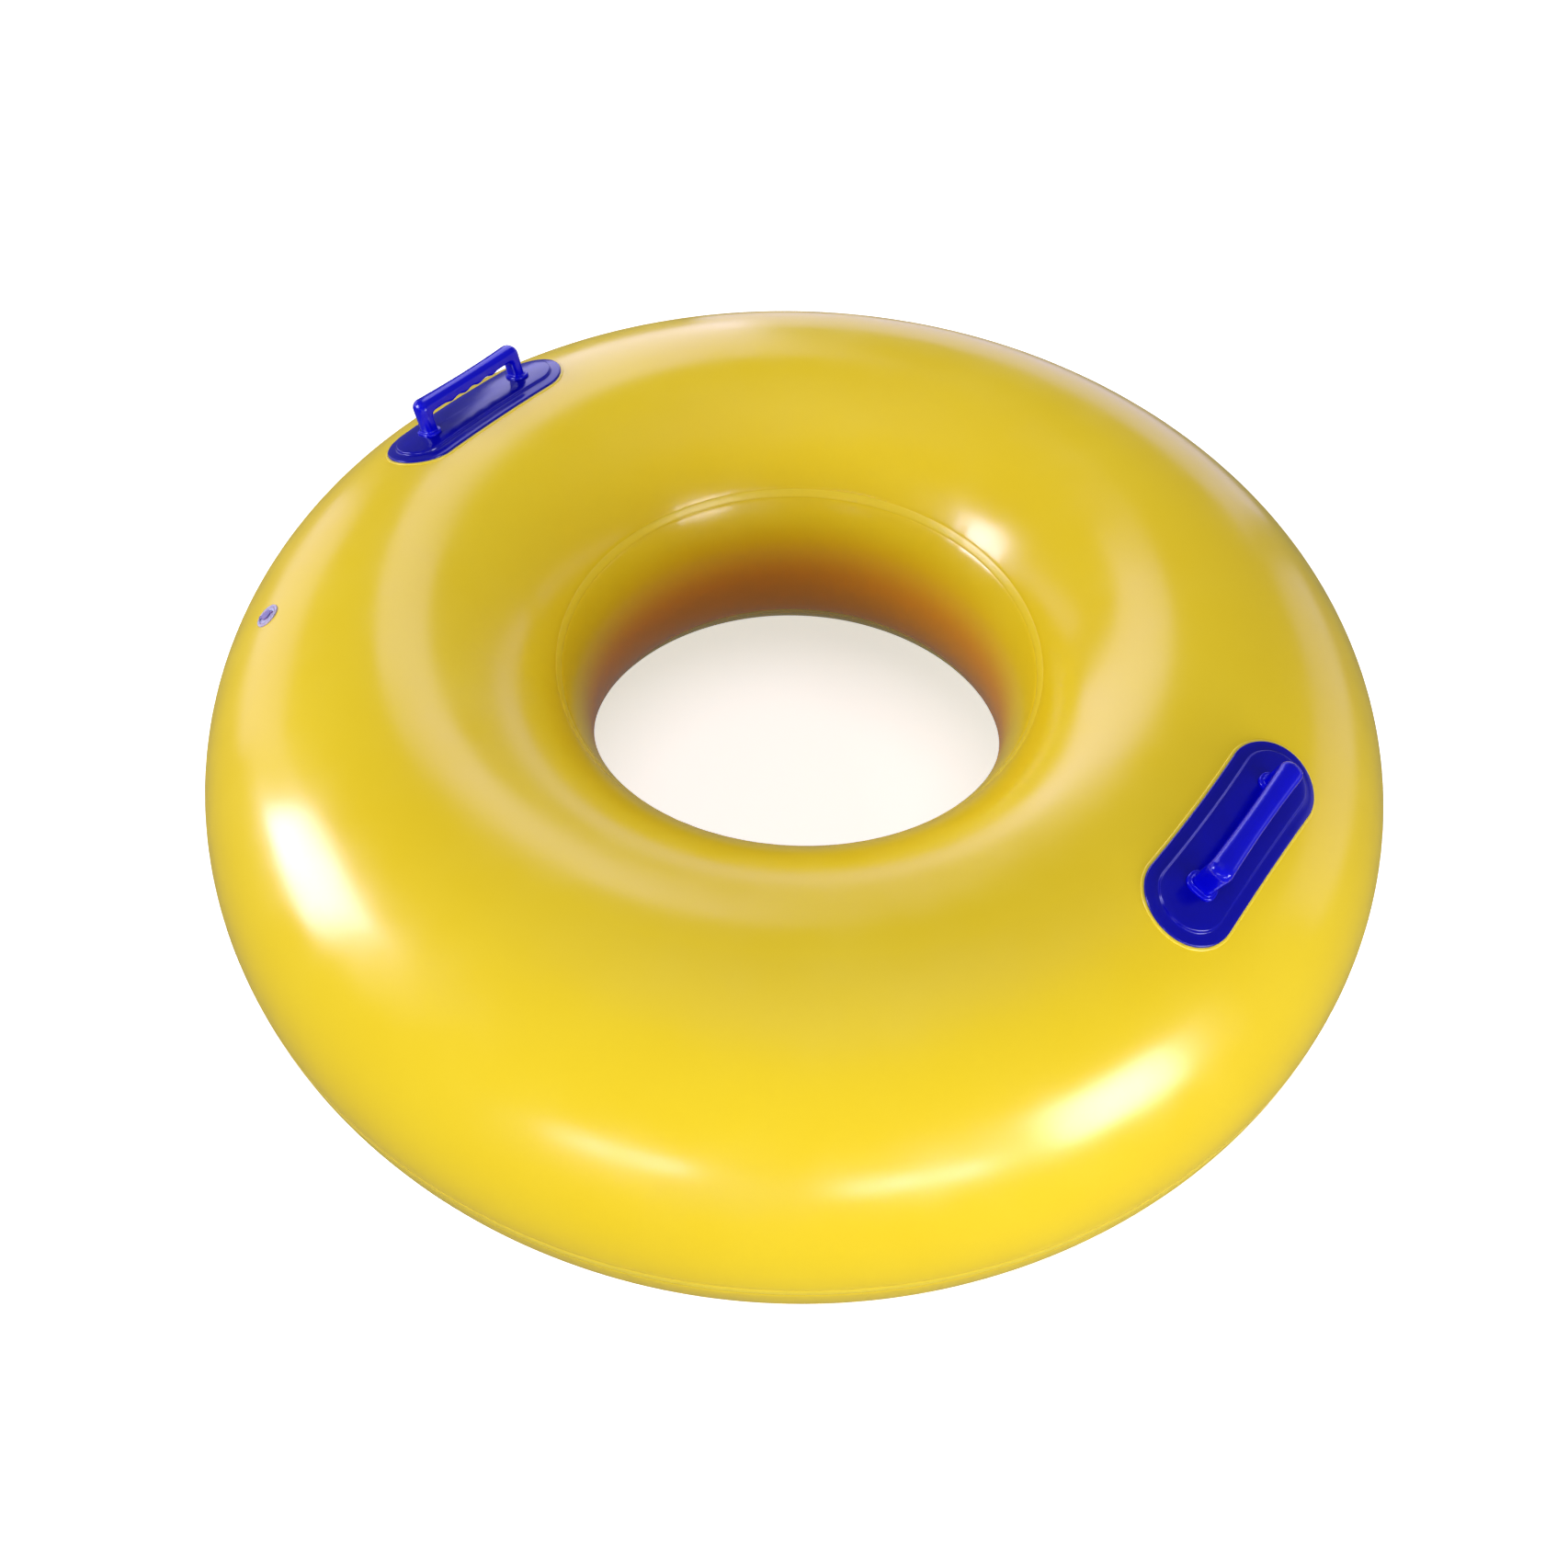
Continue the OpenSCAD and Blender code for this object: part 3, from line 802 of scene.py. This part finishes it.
def softbox(name, azimuth_deg, elevation_deg, away, width, height, watts, hex_colour="#FFFFFF"):
    lamp = bpy.data.lights.new(name, "AREA")
    lamp.shape, lamp.size, lamp.size_y = "RECTANGLE", width, height
    lamp.energy, lamp.color = watts, linear(hex_colour)[:3]
    box = bpy.data.objects.new(name, lamp)
    bpy.context.scene.collection.objects.link(box)
    direction = towards(azimuth_deg, elevation_deg)
    box.location = target + direction * away
    box.rotation_euler = direction.to_track_quat("Z", "Y").to_euler()
    box.visible_camera = False
    return box


# Soft boxes that the film mirrors.
mirrored = [softbox("left_tall", -138, 21, 3.0, 1.0, 1.2, 72, "#DAD8FF"),
            softbox("right_low", -7, 11, 3.0, 1.0, 0.9, 46, "#F0F0FF"),
            softbox("front_right_small", -36, 6, 3.0, 1.1, 0.3, 13, "#D4D0FF"),
            softbox("front_left_small", -75, 10, 3.0, 1.0, 0.3, 10, "#D0CCFF"),
            softbox("back_tall", 142, 29, 3.0, 1.2, 2.4, 30, "#D0CCFF"),
            softbox("back_strip", 110, 4, 3.0, 2.8, 1.6, 20, "#CCC6FF"),
            softbox("back_strip_right", 55, 8, 3.0, 2.6, 1.2, 10, "#D6CEFF"),
            softbox("back_strip_left", -174, 10, 3.0, 1.8, 1.3, 12, "#D6CEFF")]
for box in mirrored:
    box.visible_diffuse = False
# Fills that only model the form.
fills = [softbox("fill_left", -134, 28, 3.0, 2.2, 1.4, 52),
         softbox("fill_right", -15, 10, 3.0, 2.4, 1.2, 64),
         softbox("fill_front", -70, 4, 3.0, 2.4, 0.8, 25),
         softbox("fill_back", 130, 18, 3.0, 3.0, 1.2, 38),
         softbox("fill_top", 0, 85, 3.0, 2.4, 2.4, 28)]
for fill in fills:
    fill.visible_glossy = False

# The room behind is dim as a light, and nearly white where the camera sees it.
world = bpy.data.worlds.new("studio")
world.use_nodes = True
background = world.node_tree.nodes["Background"]
background.inputs["Color"].default_value = linear("#FFFFFF")
seen = add_node(world.node_tree, "ShaderNodeLightPath").outputs["Is Camera Ray"]
backdrop = add_node(world.node_tree, "ShaderNodeMapRange", {"Value": seen}, To_Min=0.18, To_Max=0.92)
world.node_tree.links.new(backdrop.outputs["Result"], background.inputs["Strength"])
bpy.context.scene.world = world
# Plain sRGB keeps the yellow and the blue as deep as they were picked.
bpy.context.scene.view_settings.view_transform = "Standard"
print(f"lights: {len(mirrored)} mirrored soft boxes, {len(fills)} fills")

# %% Camera
camera_azimuth, camera_elevation, camera_away = -54.0, 49.43, 1.40829
roll = radians(2.28)
lens = bpy.data.cameras.new("camera")
lens.lens, lens.sensor_width = 30.014, 36
lens.shift_x, lens.shift_y = -0.0088, -0.0478
camera = bpy.data.objects.new("camera", lens)
bpy.context.scene.collection.objects.link(camera)
back = towards(camera_azimuth, camera_elevation)
camera.location = target + back * camera_away
look = back.to_track_quat("Z", "Y").to_matrix()
camera.rotation_euler = (look @ Matrix.Rotation(roll, 3, "Z")).to_euler()
bpy.context.scene.camera = camera
print("camera at", [round(v, 4) for v in camera.location])
